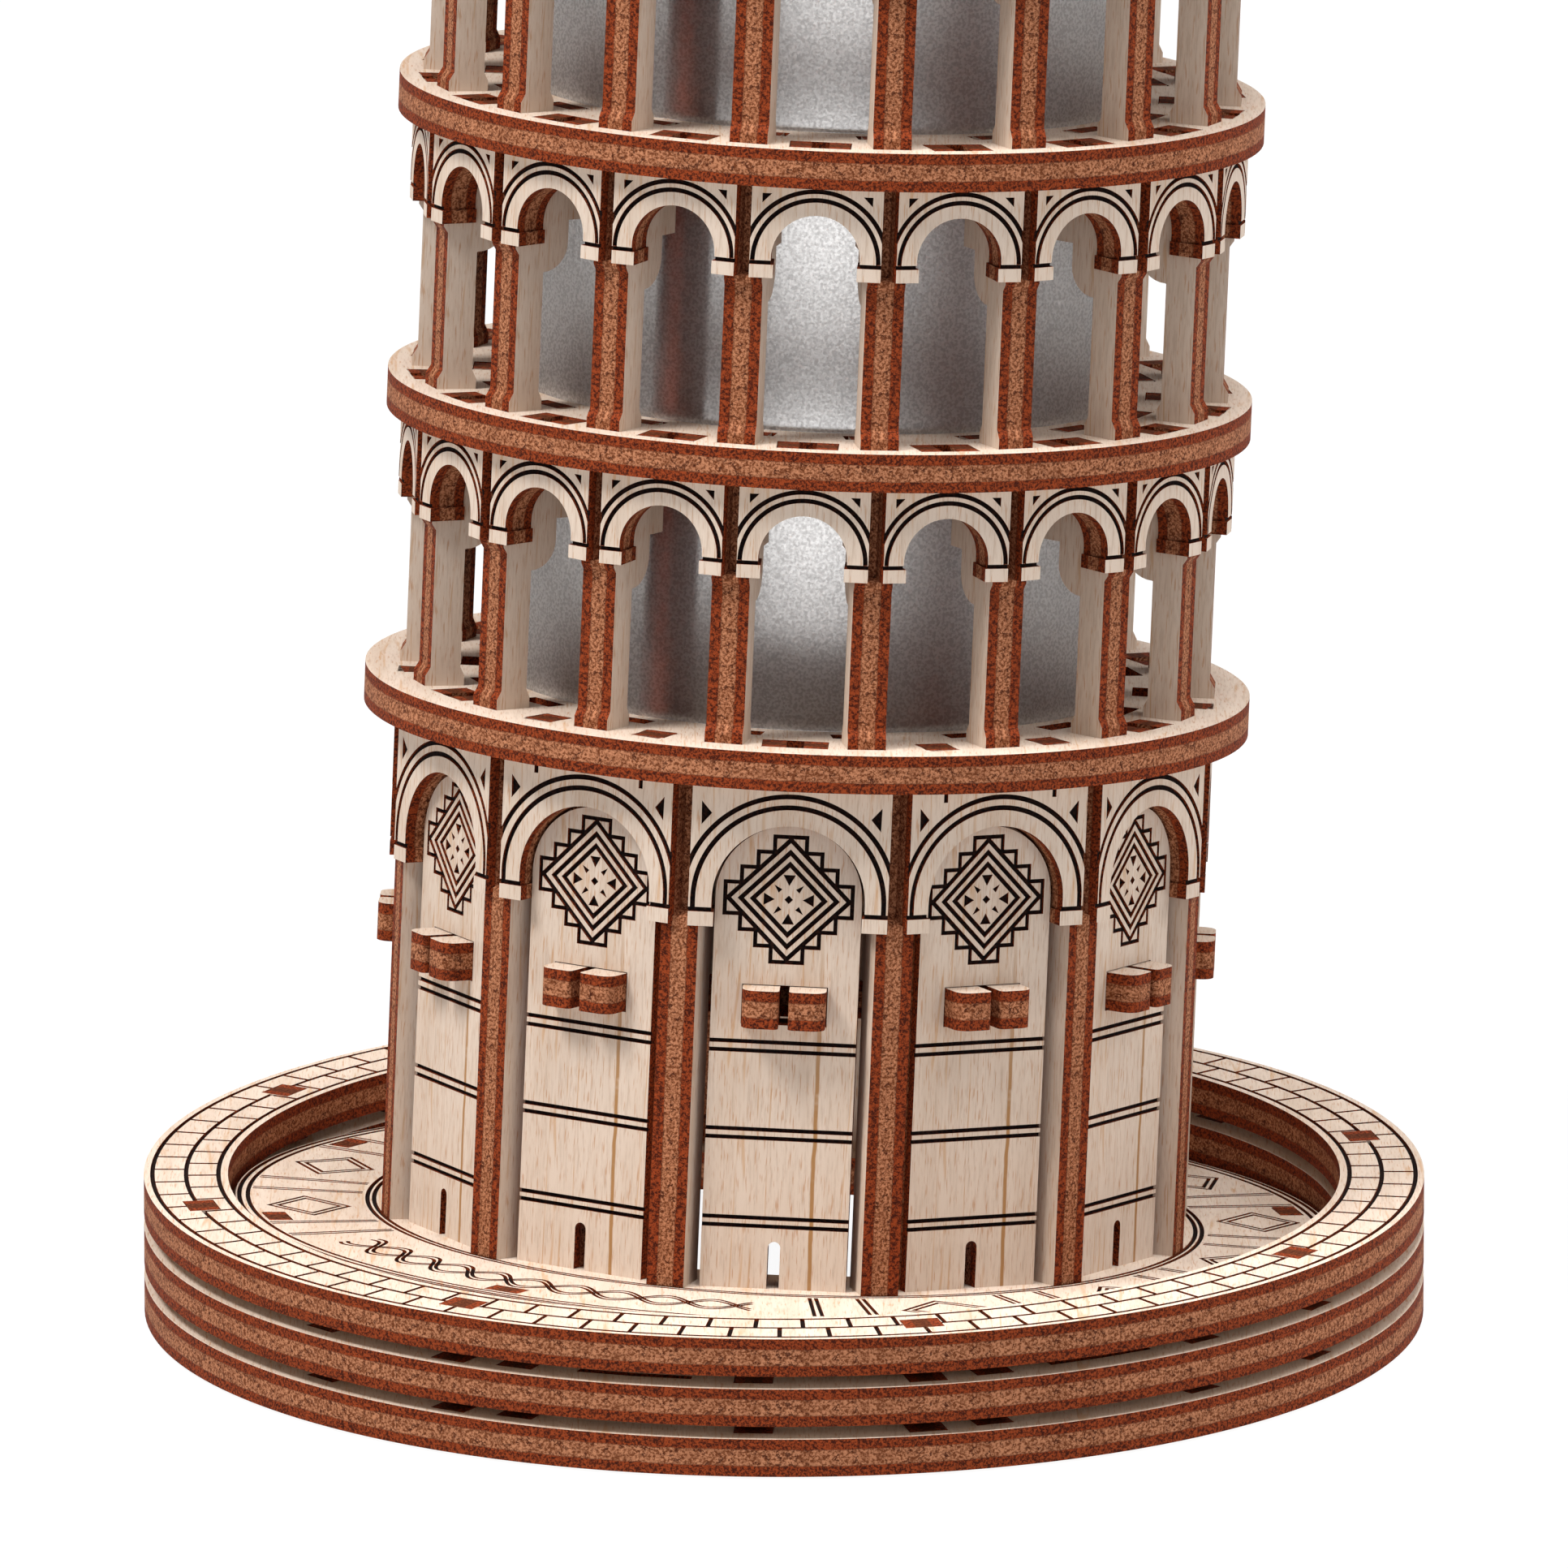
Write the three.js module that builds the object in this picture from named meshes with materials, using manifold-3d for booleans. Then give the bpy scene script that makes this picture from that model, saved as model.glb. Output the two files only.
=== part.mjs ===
// Leaning bell tower, a souvenir model pressed together from laser-cut plywood.
//
// Millimetres, +Z up. The origin is the centre of the base's underside. The front of the
// model faces -Y, and an azimuth is counted from the front towards +X. The three base
// rings lie flat. Everything above them stands on a floor plate that is tilted inside the
// rings, so the whole tower leans towards the right and the back.

import * as THREE from 'three';
import { mergeVertices } from 'three/addons/utils/BufferGeometryUtils.js';
import Module from 'manifold-3d';

const wasm = await Module();
wasm.setup();

// ---- driving dimensions -------------------------------------------------------------

const PLY = 4;                    // thickness of every plywood piece
const FIT = 0.3;                  // free gap left between two pieces that meet
const SLOT_FIT = 0.15;            // gap all round a tenon in its slot

const LEAN = THREE.MathUtils.degToRad(4.54);
const LEAN_TOWARDS = THREE.MathUtils.degToRad(58.25);   // from +X towards +Y
const AXIS_Z = 7.94;              // height where the leaning axis crosses the base's axis

// base
const RING_COUNT = 3;
const RING_PITCH = 5.35;
const RING_OUTER = 67.4;
const RING_INNER = 58.55;
const PEG_COUNT = 8;
const PEG_AZIMUTH = 13.1;
const PEG_INNER = 61;
const PEG_OUTER = 64.3;

// floor plate and its legs, heights along the leaning axis
const FLOOR_TOP = 2;
const FLOOR_OUTER = 57.9;
const FLOOR_INNER = 33;
const LEG_INNER = 50;
const LEG_OUTER = 57;
const LEG_TENON_INNER = 53.4;
const LEG_TENON_OUTER = 56;

// ground storey
const FACING = -1.7;              // azimuth of the bay that looks to the front
const GROUND_BAYS = 12;
const WALL_FRONT = 40.7;
const WALL_HALF = 7.6;
const DOOR_HALF = 0.65;
const DOOR_HEIGHT = 4.7;
const GROUND_ARCH_FRONT = 42.74;
const GROUND_ARCH_HALF = 10.35;
const GROUND_IMPOST = 40.4;
const GROUND_SPRING = 43.3;       // centre of the round arch
const GROUND_OPENING = 7.95;      // half width and radius of the arch opening
const PIER_OUTER = 43.1;
const PIER_INNER = 38.2;
const PIER_HEEL_INNER = 35;

// snap ring that locks the wall panels from inside
const SNAP_BOTTOM = 30;
const SNAP_INNER = 28;
const SNAP_OUTER = 36.3;
const PRONG_TIP = 44;
const PRONG_ROOT = -35;           // where a prong starts, inside the ring's own band
const PRONG_NEAR = 0.55;          // the two prongs of a bay, each side of its middle
const PRONG_FAR = 4.35;

// galleries
const GALLERY_COUNT = 6;
const GALLERY_BAYS = 18;
const STOREY = 31.42;
const FIRST_FLOOR_TOP = 59.53;
const FIRST_FLOOR_OUTER = 46.45;
const GALLERY_FLOOR_OUTER = 45.3;
const GALLERY_FLOOR_INNER = 30;
const COLUMN_OUTER = 42.2;
const COLUMN_INNER = 38.95;
const COLUMN_HEIGHT = 17.7;       // floor to the underside of the arches
const ARCH_FRONT = 43.2;
const ARCH_HALF = 6.8;
const ARCH_SPRING = 19.75;
const ARCH_OPENING = 4.6;
const CAPITAL_FOOT = 14.6;        // where the column widens towards the tube
const CAPITAL_CORNER = 16.5;
const CAPITAL_INNER = 35.9;
const HEAD_FOOT = 19.8;           // the head above the capital reaches further in
const HEAD_INNER = 33.4;
const DIFFUSER_OUTER = 32.6;
const DIFFUSER_WALL = 0.6;

// posts of the light shaft
const POST_AZIMUTHS = [-32, 148];
const POST_OUTER = 29.6;
const POST_DEPTH = 3.6;

// belfry
const BELFRY_BAYS = 12;
const BELFRY_FRONT = 33;
const BELFRY_HALF = 7.72;
const BELFRY_HEIGHT = 24;
const BELFRY_IMPOST = 11;
const BELFRY_SPRING = 13.8;
const BELFRY_OPENING = 5.6;
const BELFRY_PIER_OUTER = 33.8;
const BELFRY_PIER_INNER = 28;
const CORNICE_OUTER = 36.5;
const CORNICE_INNER = 27;
const CROWN_OUTER = 33;
const CROWN_INNER = 28.5;

// facets of the round outlines
const RING_FACETS = 48;
const FLOOR_FACETS = 36;
const TUBE_FACETS = 24;
const ARCH_FACETS = 4;

// ---- materials ----------------------------------------------------------------------

const plywood = () => new THREE.MeshStandardMaterial({ color: 0xd9c8b4, roughness: 0.7, metalness: 0 });
const frosted = () => new THREE.MeshStandardMaterial({ color: 0xc9c9cb, roughness: 0.5, metalness: 0 });

// ---- small helpers ------------------------------------------------------------------

const radians = THREE.MathUtils.degToRad;
const overlap = 0.1;              // how far joined bodies reach into each other

/** Turns a closed geometry into a solid that can be joined and cut. */
function solid(geometry) {
  const bare = geometry.clone();
  bare.deleteAttribute('normal');
  bare.deleteAttribute('uv');
  const merged = mergeVertices(bare, 1e-5);
  return new wasm.Manifold(new wasm.Mesh({
    numProp: 3,
    vertProperties: new Float32Array(merged.attributes.position.array),
    triVerts: new Uint32Array(merged.index.array),
  }));
}

/** Turns a solid back into a geometry. */
function geometryOf(body) {
  const mesh = body.getMesh();
  const geometry = new THREE.BufferGeometry();
  geometry.setAttribute('position', new THREE.BufferAttribute(new Float32Array(mesh.vertProperties), 3));
  geometry.setIndex(new THREE.BufferAttribute(new Uint32Array(mesh.triVerts), 1));
  geometry.computeVertexNormals();
  return geometry;
}

/** Joins closed geometries that reach into each other into one closed geometry. */
function joined(geometries) {
  return geometryOf(geometries.map(solid).reduce((whole, next) => whole.add(next)));
}

/** An outline through a list of [x, y] points. */
function outline(points) {
  return new THREE.Shape(points.map(([x, y]) => new THREE.Vector2(x, y)));
}

/** Extrudes a shape along z. Every arc in it gets the given number of facets. */
function extruded(shape, depth, facets = ARCH_FACETS) {
  const curveSegments = facets / 2;     // an arc is divided into twice this number
  return new THREE.ExtrudeGeometry(shape, { depth, curveSegments, bevelEnabled: false });
}

/** A flat panel that faces -Y: the shape's x runs sideways and its y runs up. */
function facingPanel(shape, front) {
  return extruded(shape, PLY).rotateX(Math.PI / 2).translate(0, PLY - front, 0);
}

/** An upright plate that points to -Y: the shape's x is the radius and its y runs up. */
function radialPlate(shape, thickness = PLY) {
  return extruded(shape, thickness).translate(0, 0, -thickness / 2)
    .rotateX(Math.PI / 2).rotateZ(-Math.PI / 2);
}

/** A rectangular hole at an azimuth, for a tenon between two radii. */
function tenonSlot(azimuth, inner, outer, width) {
  const half = width / 2;
  const corners = [[-half, -inner], [half, -inner], [half, -outer], [-half, -outer]];
  const centre = new THREE.Vector2();
  const turned = ([x, y]) => new THREE.Vector2(x, y).rotateAround(centre, radians(azimuth));
  return new THREE.Path(corners.map(turned));
}

/** A flat ring lying in the XY plane with its underside at z. */
function flatRing(outer, inner, z, facets, slots = [], thickness = PLY) {
  const shape = new THREE.Shape().absarc(0, 0, outer, 0, 2 * Math.PI, false);
  shape.holes.push(new THREE.Path().absarc(0, 0, inner, 0, 2 * Math.PI, true), ...slots);
  return extruded(shape, thickness, facets).translate(0, 0, z);
}

/** The azimuths of evenly spaced pieces. */
function azimuths(count, first) {
  return Array.from({ length: count }, (_, index) => first + (360 / count) * index);
}

/** A panel with a round-headed opening, open at the bottom. */
function archShape(half, bottom, top, opening, spring) {
  const shape = new THREE.Shape();
  shape.moveTo(-half, bottom);
  shape.lineTo(-half, top);
  shape.lineTo(half, top);
  shape.lineTo(half, bottom);
  shape.lineTo(opening, bottom);
  shape.lineTo(opening, spring);
  shape.absarc(0, spring, opening, 0, Math.PI, false);
  shape.lineTo(-opening, bottom);
  return shape;
}

/** Makes a bay's geometries once for every bay, and joins them all into one body. */
function joinedBays(count, first, makers) {
  const copies = azimuths(count, first).flatMap((azimuth) => (
    makers.map((make) => make().rotateZ(radians(azimuth)))
  ));
  return joined(copies);
}

/** Adds a named piece to the assembly, turned to its azimuth. */
function piece(name, geometry, material, parent, azimuth = 0) {
  const mesh = new THREE.Mesh(geometry, material);
  mesh.name = name;
  mesh.rotation.z = radians(azimuth);
  parent.add(mesh);
}

// ---- assembly -----------------------------------------------------------------------

const group = new THREE.Group();
const tower = new THREE.Group();
const tiltAxis = new THREE.Vector3(-Math.sin(LEAN_TOWARDS), Math.cos(LEAN_TOWARDS), 0);
tower.quaternion.setFromAxisAngle(tiltAxis, LEAN);
tower.position.set(0, 0, AXIS_Z);
group.add(tower);

/** Three flat rings, held at their spacing by pegs through all of them. */
function buildBaseRings() {
  const names = ['base_ring_bottom', 'base_ring_middle', 'base_ring_top'];
  names.forEach((name, level) => {
    const slots = azimuths(PEG_COUNT, PEG_AZIMUTH).map((azimuth) => (
      tenonSlot(azimuth, PEG_INNER, PEG_OUTER, PLY)
    ));
    piece(name, flatRing(RING_OUTER, RING_INNER, level * RING_PITCH, RING_FACETS, slots), plywood(), group);
  });
  const height = (RING_COUNT - 1) * RING_PITCH + PLY;
  const depth = PEG_OUTER - PEG_INNER - 2 * SLOT_FIT;
  azimuths(PEG_COUNT, PEG_AZIMUTH).forEach((azimuth, index) => {
    const peg = new THREE.BoxGeometry(PLY - 2 * SLOT_FIT, depth, height)
      .translate(0, -(PEG_INNER + PEG_OUTER) / 2, height / 2);
    piece(`ring_peg_${index + 1}`, peg, plywood(), group, azimuth);
  });
}

/** Radius and height, in the upright frame, of a point given in the tilted tower's frame. */
function upright(radius, azimuth, along) {
  const turn = radians(azimuth);
  const point = new THREE.Vector3(radius * Math.sin(turn), -radius * Math.cos(turn), along);
  point.applyQuaternion(tower.quaternion);
  return [Math.hypot(point.x, point.y), point.z + AXIS_Z];
}

/** The tilted floor plate on eight legs, each as tall as the tilt leaves it. */
function buildFloor() {
  const legAzimuths = azimuths(PEG_COUNT, PEG_AZIMUTH);
  const slots = legAzimuths.map((azimuth) => tenonSlot(azimuth, LEG_TENON_INNER, LEG_TENON_OUTER, PLY));
  const underside = FLOOR_TOP - PLY;
  piece('floor_plate', flatRing(FLOOR_OUTER, FLOOR_INNER, underside, RING_FACETS, slots), plywood(), tower);
  legAzimuths.forEach((azimuth, index) => {
    // The foot stands flat on the table, the tenon follows the tilt through the plate.
    const tilted = (radius, along) => upright(radius, azimuth, along);
    const shoulder = underside - FIT;
    const shape = outline([
      [LEG_INNER, 0],
      [LEG_OUTER, 0],
      tilted(LEG_OUTER, shoulder),
      tilted(LEG_TENON_OUTER - SLOT_FIT, shoulder),
      tilted(LEG_TENON_OUTER - SLOT_FIT, FLOOR_TOP),
      tilted(LEG_TENON_INNER + SLOT_FIT, FLOOR_TOP),
      tilted(LEG_TENON_INNER + SLOT_FIT, shoulder),
      tilted(LEG_INNER, shoulder),
    ]);
    const leg = radialPlate(shape, PLY - 4 * SLOT_FIT);
    piece(`floor_leg_${index + 1}`, leg, plywood(), group, azimuth);
  });
}

/** One wall panel: round head, slot for the snap prongs, narrow door. */
function wallPanel() {
  const bottom = FLOOR_TOP + FIT;
  const doorTop = FLOOR_TOP + DOOR_HEIGHT;
  const shape = new THREE.Shape();
  shape.moveTo(WALL_HALF, bottom);
  shape.lineTo(WALL_HALF, GROUND_SPRING);
  shape.absarc(0, GROUND_SPRING, WALL_HALF, 0, Math.PI, false);
  shape.lineTo(-WALL_HALF, bottom);
  shape.lineTo(-DOOR_HALF, bottom);
  shape.lineTo(-DOOR_HALF, doorTop);
  shape.lineTo(DOOR_HALF, doorTop);
  shape.lineTo(DOOR_HALF, bottom);
  const reach = PRONG_FAR + FIT;
  shape.holes.push(new THREE.Path([
    new THREE.Vector2(-reach, SNAP_BOTTOM - FIT),
    new THREE.Vector2(reach, SNAP_BOTTOM - FIT),
    new THREE.Vector2(reach, SNAP_BOTTOM + PLY + FIT),
    new THREE.Vector2(-reach, SNAP_BOTTOM + PLY + FIT),
  ]));
  return facingPanel(shape, WALL_FRONT);
}

/** Twelve wall panels, the piers and blind arches around them, and the ring inside. */
function buildGroundStorey() {
  azimuths(GROUND_BAYS, FACING).forEach((azimuth, index) => {
    piece(`wall_panel_${index + 1}`, wallPanel(), plywood(), tower, azimuth);
  });

  const ceiling = FIRST_FLOOR_TOP - PLY - FIT;
  const bottom = FLOOR_TOP + FIT;
  const heel = SNAP_BOTTOM + PLY + FIT;
  const halfBay = radians(180 / GROUND_BAYS);
  const headFront = GROUND_ARCH_FRONT - PLY - FIT;
  const arch = () => facingPanel(
    archShape(GROUND_ARCH_HALF, GROUND_IMPOST, ceiling, GROUND_OPENING, GROUND_SPRING),
    GROUND_ARCH_FRONT,
  );
  const pier = () => radialPlate(outline([
    [PIER_INNER, bottom],
    [PIER_OUTER, bottom],
    [PIER_OUTER, GROUND_IMPOST + overlap],
    [headFront, GROUND_IMPOST + overlap],
    [headFront, ceiling],
    [PIER_HEEL_INNER, ceiling],
    [PIER_HEEL_INNER, heel],
    [PIER_INNER, heel],
  ])).rotateZ(halfBay);
  piece('ground_arcade', joinedBays(GROUND_BAYS, FACING, [arch, pier]), plywood(), tower);

  const prong = (near, far) => () => extruded(outline([
    [near, PRONG_ROOT],
    [near, -PRONG_TIP],
    [far, -PRONG_TIP],
    [far, PRONG_ROOT],
  ]), PLY).translate(0, 0, SNAP_BOTTOM);
  const pair = [prong(-PRONG_FAR, -PRONG_NEAR), prong(PRONG_NEAR, PRONG_FAR)];
  const prongs = joinedBays(GROUND_BAYS, FACING, pair);
  const ring = flatRing(SNAP_OUTER, SNAP_INNER, SNAP_BOTTOM, FLOOR_FACETS);
  piece('snap_ring', joined([ring, prongs]), plywood(), tower);
}

/** Height of a gallery floor's top above the foot of the leaning axis. */
function floorTop(gallery) {
  return FIRST_FLOOR_TOP + gallery * STOREY;
}

/** Six open galleries: a floor, eighteen columns under arches, and the frosted tube. */
function buildGalleries() {
  const ceiling = STOREY - PLY - FIT;
  const halfBay = radians(180 / GALLERY_BAYS);
  const headFront = ARCH_FRONT - PLY - FIT;
  const arch = () => facingPanel(
    archShape(ARCH_HALF, COLUMN_HEIGHT, ceiling, ARCH_OPENING, ARCH_SPRING),
    ARCH_FRONT,
  );
  const column = () => radialPlate(outline([
    [COLUMN_INNER, FIT],
    [COLUMN_OUTER, FIT],
    [COLUMN_OUTER, COLUMN_HEIGHT + overlap],
    [headFront, COLUMN_HEIGHT + overlap],
    [headFront, ceiling],
    [HEAD_INNER, ceiling],
    [HEAD_INNER, HEAD_FOOT],
    [CAPITAL_INNER, HEAD_FOOT],
    [CAPITAL_INNER, CAPITAL_CORNER],
    [COLUMN_INNER, CAPITAL_FOOT],
  ])).rotateZ(halfBay);
  for (let gallery = 0; gallery < GALLERY_COUNT; gallery += 1) {
    const outer = gallery === 0 ? FIRST_FLOOR_OUTER : GALLERY_FLOOR_OUTER;
    const top = floorTop(gallery);
    const floor = flatRing(outer, GALLERY_FLOOR_INNER, top - PLY, FLOOR_FACETS);
    piece(`gallery_${gallery + 1}_floor`, floor, plywood(), tower);
    const arcade = joinedBays(GALLERY_BAYS, FACING, [arch, column]).translate(0, 0, top);
    piece(`gallery_${gallery + 1}_arcade`, arcade, plywood(), tower);
    const tube = flatRing(DIFFUSER_OUTER, DIFFUSER_OUTER - DIFFUSER_WALL, top + FIT, TUBE_FACETS, [],
      ceiling - FIT);
    piece(`gallery_${gallery + 1}_diffuser`, tube, frosted(), tower);
  }
}

/** Two posts that stand on the snap ring and run up inside the light shaft. */
function buildPosts() {
  const bottom = SNAP_BOTTOM + PLY + FIT;
  const height = floorTop(GALLERY_COUNT) - bottom;
  POST_AZIMUTHS.forEach((azimuth, index) => {
    const post = new THREE.BoxGeometry(PLY, POST_DEPTH, height)
      .translate(0, POST_DEPTH / 2 - POST_OUTER, bottom + height / 2);
    piece(`shaft_post_${index + 1}`, post, plywood(), tower, azimuth);
  });
}

/** The narrower bell chamber: floor, arcade, cornice and crown. */
function buildBelfry() {
  const base = floorTop(GALLERY_COUNT);
  const halfBay = radians(180 / BELFRY_BAYS);
  const arch = () => facingPanel(
    archShape(BELFRY_HALF, BELFRY_IMPOST, BELFRY_HEIGHT, BELFRY_OPENING, BELFRY_SPRING),
    BELFRY_FRONT,
  );
  const pier = () => radialPlate(outline([
    [BELFRY_PIER_INNER, FIT],
    [BELFRY_PIER_OUTER, FIT],
    [BELFRY_PIER_OUTER, BELFRY_IMPOST + overlap],
    [BELFRY_PIER_INNER, BELFRY_IMPOST + overlap],
  ])).rotateZ(halfBay);
  const floor = flatRing(GALLERY_FLOOR_OUTER, GALLERY_FLOOR_INNER, base - PLY, FLOOR_FACETS);
  const walls = joinedBays(BELFRY_BAYS, FACING, [arch, pier]).translate(0, 0, base);
  const corniceBottom = base + BELFRY_HEIGHT + FIT;
  const cornice = flatRing(CORNICE_OUTER, CORNICE_INNER, corniceBottom, FLOOR_FACETS);
  const crown = flatRing(CROWN_OUTER, CROWN_INNER, corniceBottom + PLY + FIT, FLOOR_FACETS);
  piece('belfry_floor', floor, plywood(), tower);
  piece('belfry_walls', walls, plywood(), tower);
  piece('belfry_cornice', cornice, plywood(), tower);
  piece('belfry_crown', crown, plywood(), tower);
}

buildBaseRings();
buildFloor();
buildGroundStorey();
buildGalleries();
buildPosts();
buildBelfry();

export default group;
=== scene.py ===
"""The looks of a leaning bell tower pressed together from laser-cut plywood.

Every wooden piece is built as the flat part it was cut as: its plane is local XY, its
thickness runs along local Z and its engraved side is up. Then it is stood where it belongs.
Sizes are in millimetres until a mesh or a matrix is made. An azimuth is counted in degrees
from the front (-Y) towards +X, and a level is a height along the leaning axis. The studio's
places are in metres.
"""

import math
from typing import NamedTuple

import bpy
from mathutils import Matrix, Vector
from mathutils.geometry import delaunay_2d_cdt


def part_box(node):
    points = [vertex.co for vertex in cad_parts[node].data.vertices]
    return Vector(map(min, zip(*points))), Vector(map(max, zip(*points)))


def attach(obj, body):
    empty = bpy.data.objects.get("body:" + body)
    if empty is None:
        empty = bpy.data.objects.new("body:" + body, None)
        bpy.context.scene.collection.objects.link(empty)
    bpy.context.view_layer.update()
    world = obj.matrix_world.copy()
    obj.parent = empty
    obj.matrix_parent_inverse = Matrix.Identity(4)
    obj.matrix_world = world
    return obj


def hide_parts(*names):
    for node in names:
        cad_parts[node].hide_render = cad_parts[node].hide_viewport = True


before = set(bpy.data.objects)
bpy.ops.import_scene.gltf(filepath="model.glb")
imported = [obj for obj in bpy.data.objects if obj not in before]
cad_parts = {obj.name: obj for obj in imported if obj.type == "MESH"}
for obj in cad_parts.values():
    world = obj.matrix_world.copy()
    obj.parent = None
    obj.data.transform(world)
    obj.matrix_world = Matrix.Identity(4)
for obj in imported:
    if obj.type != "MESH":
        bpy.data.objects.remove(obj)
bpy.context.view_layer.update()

MM = 0.001

# ---- places taken from the frame ----------------------------------------------------------


def centre(node):
    low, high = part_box(node)
    return (low + high) / 2


lean_axis = (centre("gallery_6_floor") - centre("gallery_1_floor")).normalized()
lean_foot = centre("gallery_1_floor") - lean_axis * (centre("gallery_1_floor").x / lean_axis.x)
lean_turn = Vector((0, 0, 1)).rotation_difference(lean_axis)
TOWER = Matrix.Translation(lean_foot) @ lean_turn.to_matrix().to_4x4()
UPRIGHT = Matrix.Identity(4)


def extent(node, stand=TOWER):
    """Inner radius, outer radius, lowest and highest level of a CAD node, in millimetres."""
    into = stand.inverted()
    points = [(into @ vertex.co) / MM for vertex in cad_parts[node].data.vertices]
    radii = [math.hypot(point.x, point.y) for point in points]
    levels = [point.z for point in points]
    return min(radii), max(radii), min(levels), max(levels)


RING_INNER, RING_OUTER, _, PLY = extent("base_ring_bottom", UPRIGHT)
MIDDLE_RING_BOTTOM = extent("base_ring_middle", UPRIGHT)[2]
TOP_RING_BOTTOM = extent("base_ring_top", UPRIGHT)[2]
PLATE_INNER, PLATE_OUTER, PLATE_BOTTOM, PLATE_TOP = extent("floor_plate")
GALLERIES = 6
FLOOR_TOPS = [extent(f"gallery_{number}_floor")[3] for number in range(1, GALLERIES + 1)]
FLOOR_TOPS.append(extent("belfry_floor")[3])
STOREY = FLOOR_TOPS[1] - FLOOR_TOPS[0]
FIRST_FLOOR_OUTER = extent("gallery_1_floor")[1]
FLOOR_INNER, FLOOR_OUTER = extent("gallery_2_floor")[:2]
FILM_OUTER = extent("gallery_1_diffuser")[1]

first_wall = TOWER.inverted() @ centre("wall_panel_1")
FACING = math.degrees(math.atan2(first_wall.x, -first_wall.y))   # the bay that looks to the front

# ---- details of the pieces ----------------------------------------------------------------

SLOT_GAP = 0.1                  # what a slot is cut wider than its tenon, which may stand askew in it
GROOVE_DEPTH = 0.3
LINE = 0.48                     # width of an engraved line
THIN_LINE = 0.43
WIDE_LINE = 0.52                # the curved lines of the ground storey's arches

PEGS = 8                        # and as many legs, and as many spacers round the rings
PEG_AZIMUTH = 13.1
PEG_INNER = 61.0
PEG_OUTER = 64.3
PEG_FOOT_OUTER = 65.9           # the pegs are deeper in the two lower rings
PEG_NECK = 62.0                 # their outer edge between the rings
SPACER_AZIMUTH = -2.8           # spacers join only the two lower rings
EXTRA_SPACERS = (-25.4, 19.6)   # each of these has a twin on the far side
SPACER_INNER = 61.2
SPACER_OUTER = 65.1
LONG_SLOTS = 8                  # curved slots in the middle ring
LONG_SLOT_START = -19.5
LONG_SLOT_SPAN = 10.9
LONG_SLOT_INNER, LONG_SLOT_OUTER = 62.9, 64.1
RING_CIRCLES = (59.55, 62.95, 66.5)
BRICKS = 80
BRICK_STARTS = (1.8, 4.1)       # azimuth of a joint in the inner and the outer row

LEG_INNER, LEG_OUTER = 50.0, 57.0
LEG_TENON_INNER, LEG_TENON_OUTER = 53.4, 56.0
PLATE_CIRCLES = (43.3, 44.0, 56.6, 57.5)
LOZENGES = 14
LOZENGE_START = -83.2
LOZENGE_RADIUS = 50.4
LOZENGE_HALVES = ((4.25, 5.0), (3.25, 3.85))    # along the radius and across it
SPOKE_SIDES = (-3.6, -2.75, 2.75, 3.6)          # short lines, in degrees from the middle of each gap
SPOKE_INNER, SPOKE_OUTER = 44.6, 56.2
BRAID_FROM, BRAID_TO = -62.0, -4.0
BRAID_WAVE = 11.6               # degrees from crest to crest
BRAID_SWING = 2.1
BRAID_STRAND = 0.42             # half the distance between a strand's two lines
BRAID_STEPS = 160

GROUND_BAYS = 12
WALL_FRONT = 40.7
WALL_HALF = 7.6
WALL_SPRING = 43.3
WALL_LINES = (28.05, 27.1, 18.8, 17.9, 9.46, 8.6)
WALL_VEIN = 3.75                # a darker vein in the wood, sideways from the panel's middle
DOOR_HALF = 0.65
DOOR_SPRING = 6.35
ROSE_LEVEL = 43.15              # middle of the engraved stepped lozenge
ROSE_STEP = 1.65
ROSE_STEPS = 4
ROSE_DIAMONDS = (6.3, 4.97, 3.72)
ROSE_HEART = 0.45
ROSE_INWARD = [(-0.65, 2.6), (0.65, 2.6), (0, 1.45)]
ROSE_OUTWARD = [(1.08, 0.70), (0.70, 1.08), (1.55, 1.55)]
GROUND_ARCH_FRONT = 42.74
WIDE_TENON = 3.4                # half the width of the tenon on every other arch panel
SMALL_TENONS = ((-8.3, -4.9), (4.9, 8.3))       # the pair of tenons on the panels between them
SMALL_TENON_WIDTH = 3.4
SMALL_SLOT_AZIMUTH = 9.2        # their slots, counted from the panel's middle
SMALL_SLOT_STEP = 0.6           # and how far these start in front of the panel's back
RELIEF_SIDE, RELIEF_HALF, RELIEF_DEPTH = 6.4, 0.24, 1.5     # the notch between a pair of tenons
PIER_OUTER, PIER_INNER, PIER_HEAD_OUTER, PIER_HEEL = 43.1, 38.2, 41.4, 35.0
PIER_HEAD_BOTTOM, PIER_SHOULDER = 41.7, 41.0
SNAP_CLEARANCE = 0.3            # between the snap ring and what stands above it

PRONG_BOTTOM = 30.0
PRONG_TIP = 44.0
PRONG_NEAR, PRONG_FAR = 0.5, 4.35
PRONG_ROUND_NEAR, PRONG_ROUND_FAR = 0.6, 1.4    # radii of the tip's corners
SNAP_INNER = extent("snap_ring")[0]
SNAP_OUTER = 36.3               # without its prongs

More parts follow.
